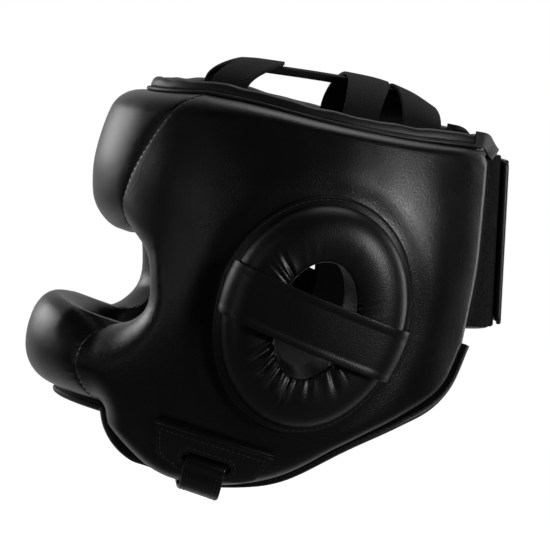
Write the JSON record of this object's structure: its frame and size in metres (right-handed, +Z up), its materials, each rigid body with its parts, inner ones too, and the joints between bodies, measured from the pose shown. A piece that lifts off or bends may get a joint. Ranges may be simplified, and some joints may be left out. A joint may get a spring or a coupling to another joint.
{
  "type": "boxing headgear",
  "caption": "Padded full-face boxing headgear with a face bar, ringed ear openings, webbing crown straps and hook-and-loop rear and chin closures.",
  "frame": {"origin": "midway between the ear openings, where the wearer's head is centred", "axes": "+X to the wearer's left, -Y the way the wearer faces, +Z up"},
  "size_m": [0.2352, 0.2701, 0.2475],
  "materials": {
    "leather": "fine-grained black synthetic leather, satin",
    "binding": "folded black edge binding, satin",
    "webbing": "black woven webbing, matt",
    "lining": "dark grey knitted lining, matt",
    "foam": "hidden padding foam",
    "hook_tape": "black hook tape",
    "loop_tape": "black fuzzy loop tape"
  },
  "bodies": {
    "headgear": {"forehead_cover": "leather", "face_bar_cover": "leather", "face_bar_inner_cover": "leather", "side_cover_left": "leather", "side_cover_right": "leather", "ear_ring_cover_left": "leather", "ear_ring_cover_right": "leather", "ear_band_left": "leather", "ear_band_right": "leather", "chin_patch_left": "leather", "chin_patch_right": "leather", "rear_tongue": "leather", "rear_wing": "leather", "forehead_foam": "foam", "face_bar_foam": "foam", "side_foam_left": "foam", "side_foam_right": "foam", "ear_ring_foam_left": "foam", "ear_ring_foam_right": "foam", "forehead_lining": "lining", "side_lining_left": "lining", "side_lining_right": "lining", "top_binding": "binding", "lower_binding_left": "binding", "lower_binding_right": "binding", "face_bar_binding": "binding", "crown_strap_front": "webbing", "crown_strap_middle": "webbing", "crown_strap_rear": "webbing", "crown_strap_centre": "webbing", "chin_anchor_left": "leather", "chin_anchor_right": "leather", "rear_loop_panel": "loop_tape"},
    "rear_strap": {"rear_strap": "leather", "rear_hook_panel": "hook_tape"},
    "chin_tab": {"chin_tab": "leather", "chin_tab_loop_tape": "loop_tape"},
    "chin_strap": {"chin_strap": "leather", "chin_strap_hook_tape": "hook_tape"}
  },
  "joints": [
    {"name": "rear_strap_hinge", "type": "hinge", "parent": "headgear", "child": "rear_strap", "pos_m": [-0.0441, 0.08976, 0.0515], "axis": [0.0824, -0.0573, 0.9949], "range_deg": [0, 110]},
    {"name": "chin_tab_hinge", "type": "hinge", "parent": "headgear", "child": "chin_tab", "pos_m": [0.0842, -0.04241, -0.09827], "axis": [-0.1505, -0.9817, 0.1169], "range_deg": [0, 85]},
    {"name": "chin_strap_hinge", "type": "hinge", "parent": "headgear", "child": "chin_strap", "pos_m": [-0.0842, -0.04241, -0.09827], "axis": [-0.1505, 0.9817, -0.1169], "range_deg": [0, 22]}
  ],
  "couplings": [
    {"joint": "chin_strap_hinge", "follows": "chin_tab_hinge", "ratio": 0.25}
  ]
}
